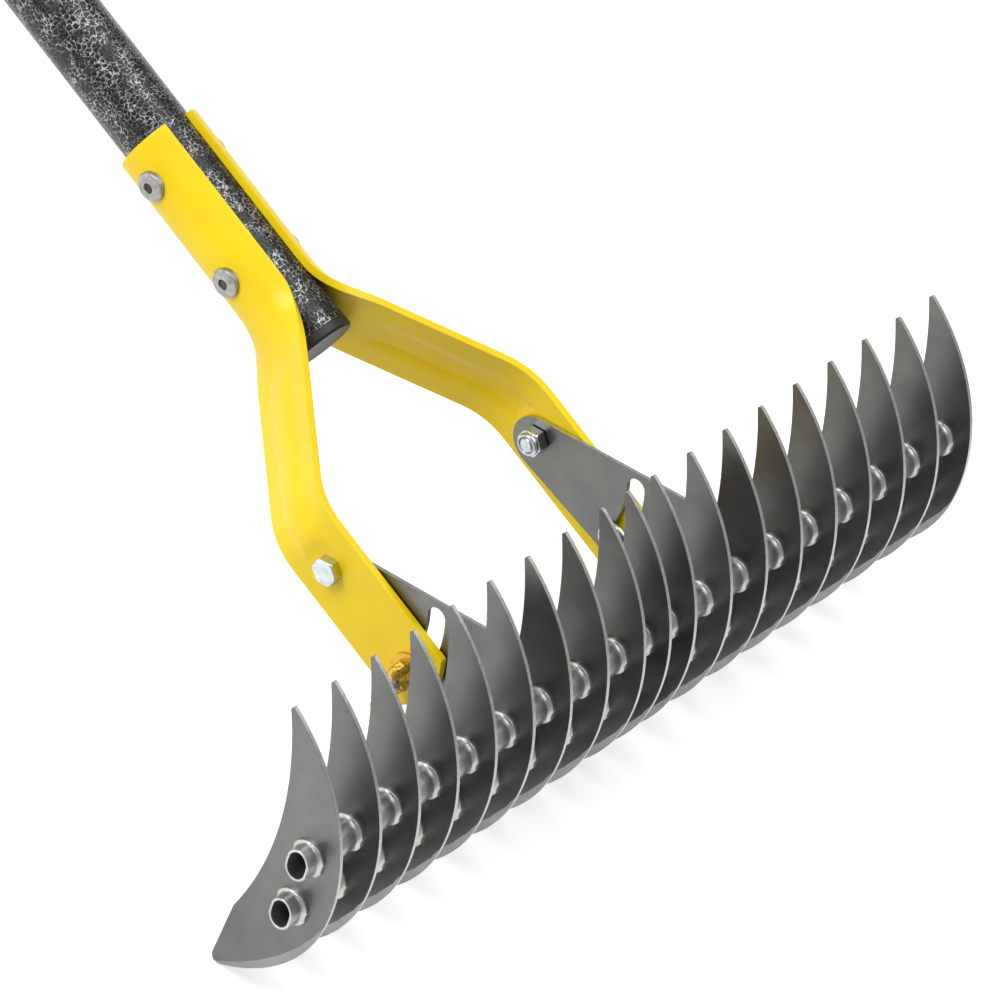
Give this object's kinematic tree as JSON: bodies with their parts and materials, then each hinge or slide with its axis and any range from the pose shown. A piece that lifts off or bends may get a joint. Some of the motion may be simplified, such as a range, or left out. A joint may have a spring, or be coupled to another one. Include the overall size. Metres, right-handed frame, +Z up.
{
  "type": "thatch rake",
  "caption": "Long-handled thatch rake: a row of steel crescent blades on two crimped tubes, held by two bent arms that let the head tilt and clamp at an angle.",
  "frame": {"origin": "on the floor, under the middle of the whole rake as it lies on its blades' wide ends and the end of its grip", "axes": "+X along the row of blades, +Y from the head towards the grip, +Z up"},
  "size_m": [0.3812, 1.5766, 0.1202],
  "materials": {
    "blade_steel": "satin cold-rolled steel, darker towards the outer edge",
    "tube_zinc": "bright zinc-plated",
    "yellow_paint": "glossy powder coat",
    "crackle_coat": "black with a fine silver vein crackle",
    "black_plastic": "matte",
    "grip_rubber": "matte",
    "rivet_aluminium": "satin",
    "bolt_zinc": "blue-white zinc",
    "wing_casting": "rough casting, yellow zinc"
  },
  "bodies": {
    "handle": {"handle_tube": "crackle_coat", "handle_plug": "black_plastic", "handle_grip": "grip_rubber", "handle_cap": "black_plastic", "left_arm": "yellow_paint", "right_arm": "yellow_paint", "arm_rivets": "rivet_aluminium", "pivot_bolts": "bolt_zinc", "pivot_nuts": "bolt_zinc", "clamp_bolts": "bolt_zinc", "clamp_washers": "bolt_zinc"},
    "head": {"blade_01": "blade_steel", "blade_02": "blade_steel", "blade_03": "blade_steel", "blade_04": "blade_steel", "blade_05": "blade_steel", "lug_blade_06": "blade_steel", "blade_07": "blade_steel", "blade_08": "blade_steel", "blade_09": "blade_steel", "blade_10": "blade_steel", "blade_11": "blade_steel", "lug_blade_12": "blade_steel", "blade_13": "blade_steel", "blade_14": "blade_steel", "blade_15": "blade_steel", "blade_16": "blade_steel", "blade_17": "blade_steel", "blade_18": "blade_steel", "blade_19": "blade_steel", "upper_head_tube": "tube_zinc", "lower_head_tube": "tube_zinc"},
    "left_wing_nut": {"left_wing_nut": "wing_casting"},
    "right_wing_nut": {"right_wing_nut": "wing_casting"}
  },
  "joints": [
    {"name": "head_tilt", "type": "hinge", "parent": "handle", "child": "head", "pos_m": [-0.021, -0.68112, 0.05836], "axis": [1, 0, 0], "range_deg": [0, 33]},
    {"name": "left_wing_turn", "type": "hinge", "parent": "handle", "child": "left_wing_nut", "pos_m": [-0.091, -0.72781, 0.05968], "axis": [1, 0, 0], "continuous": true},
    {"name": "right_wing_turn", "type": "hinge", "parent": "handle", "child": "right_wing_nut", "pos_m": [0.049, -0.72781, 0.05968], "axis": [1, 0, 0], "continuous": true}
  ]
}
